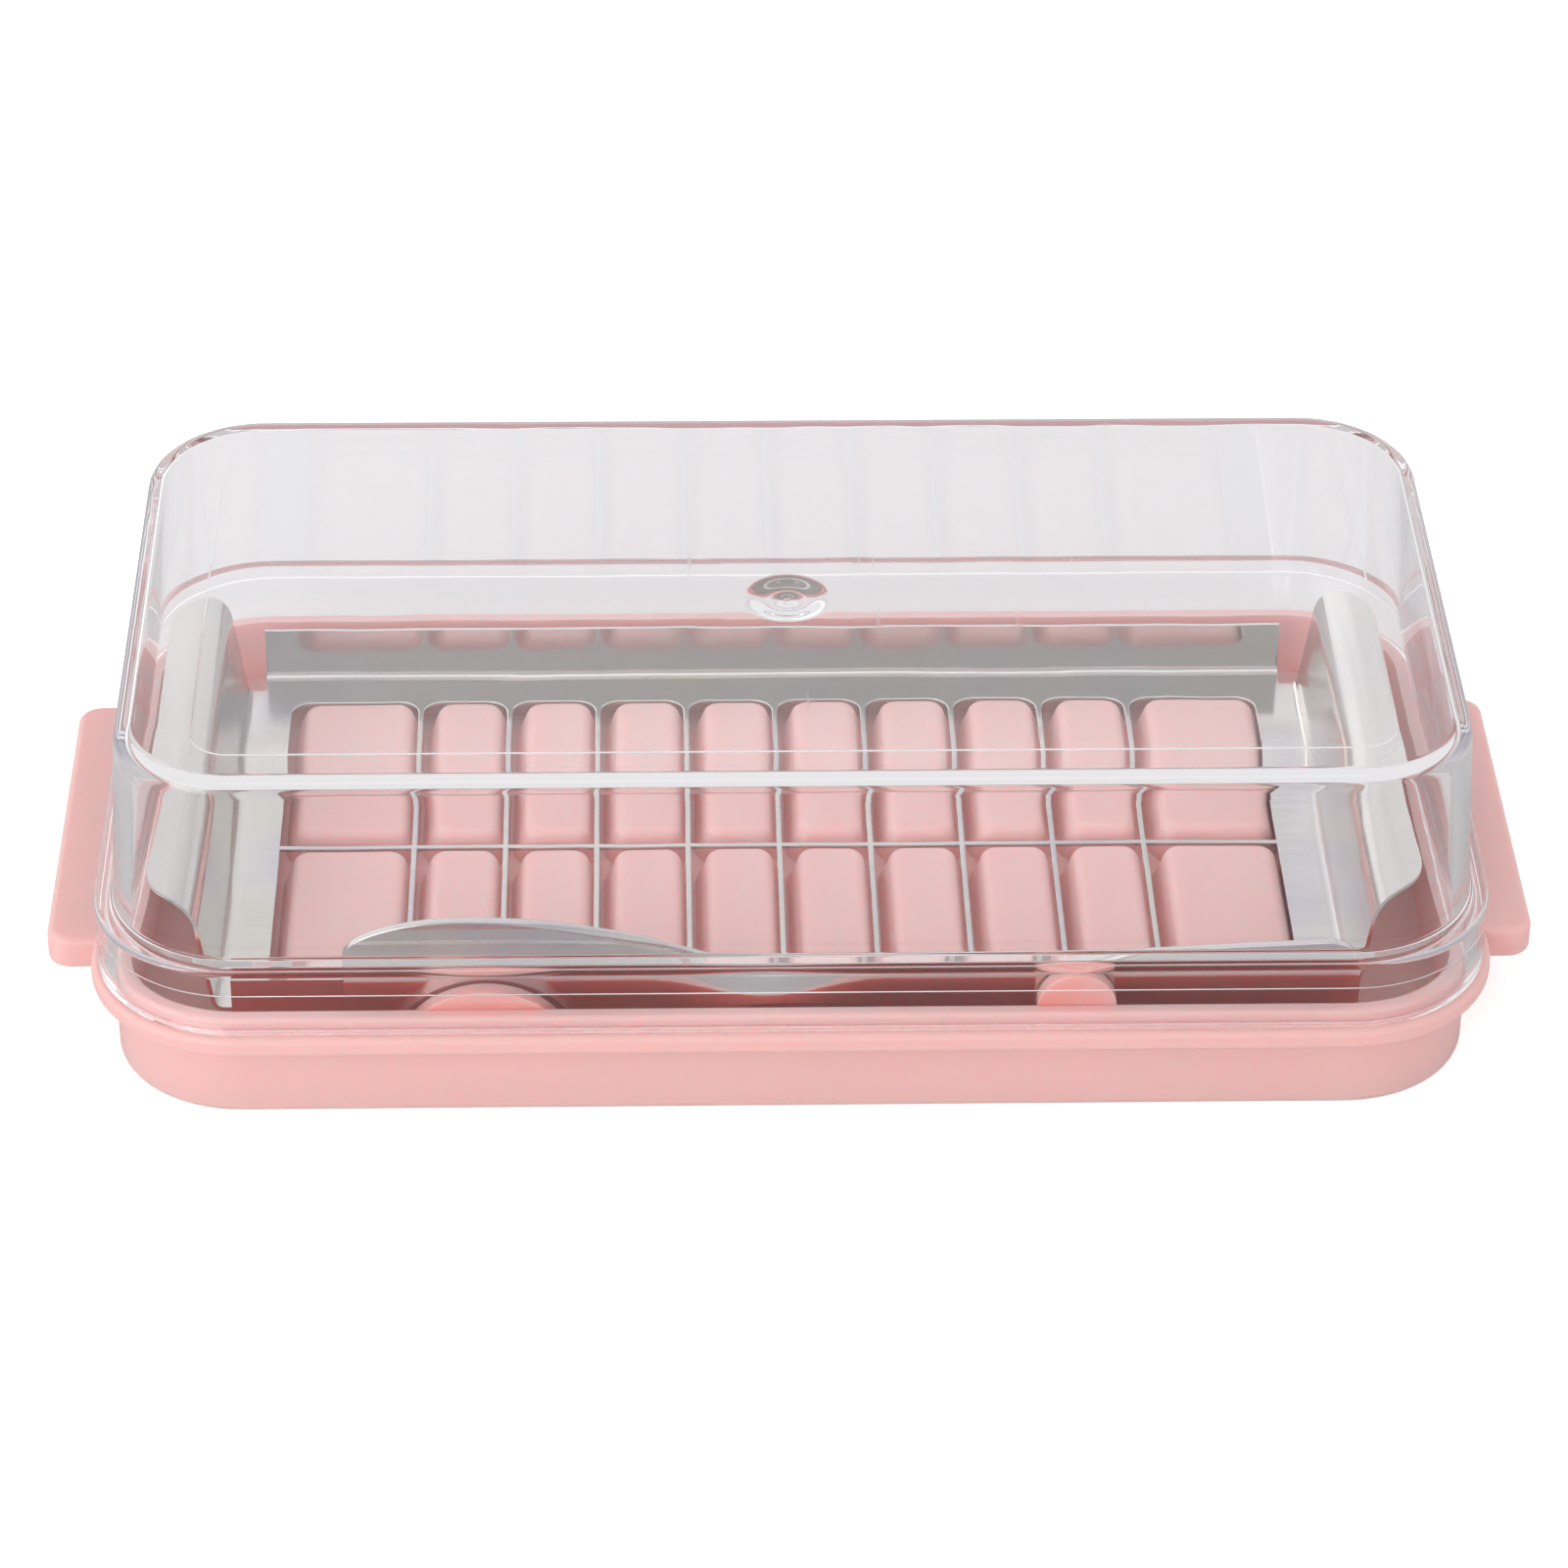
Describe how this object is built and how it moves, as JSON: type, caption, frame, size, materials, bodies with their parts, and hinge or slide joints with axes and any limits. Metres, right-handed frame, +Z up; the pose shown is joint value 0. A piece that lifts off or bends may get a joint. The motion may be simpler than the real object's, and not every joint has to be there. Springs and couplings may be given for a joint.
{
  "type": "butter dish with cutter",
  "caption": "Lidded butter dish: moulded tray with end wings, clear drafted lid, pressed steel cutting grid with curled handles, and a butter knife kept on edge.",
  "frame": {"origin": "middle of the footprint on the table, under the middle of the tray", "axes": "+X along the dish from the knife's blade end to its grip end, +Y from the front to the back, +Z up"},
  "size_m": [0.191, 0.1002, 0.0487],
  "materials": {
    "pink_plastic": "moulded, soft gloss, pale salmon pink",
    "clear_plastic": "clear, polished",
    "cutter_steel": "rolled stainless sheet, satin",
    "knife_steel": "polished stainless"
  },
  "bodies": {
    "tray": {"tray": "pink_plastic"},
    "lid": {"lid": "clear_plastic"},
    "cutter": {"cutter": "cutter_steel"},
    "knife": {"butter_knife": "knife_steel"}
  },
  "joints": [
    {"name": "lid_lift", "type": "slide", "parent": "tray", "child": "lid", "axis": [0, 0, 1], "range_m": [0, 0.1]},
    {"name": "cutter_lift", "type": "slide", "parent": "tray", "child": "cutter", "axis": [0, 0, 1], "range_m": [0, 0.012]},
    {"name": "knife_lift", "type": "slide", "parent": "tray", "child": "knife", "axis": [0, 0, 1], "range_m": [0, 0.01]}
  ]
}
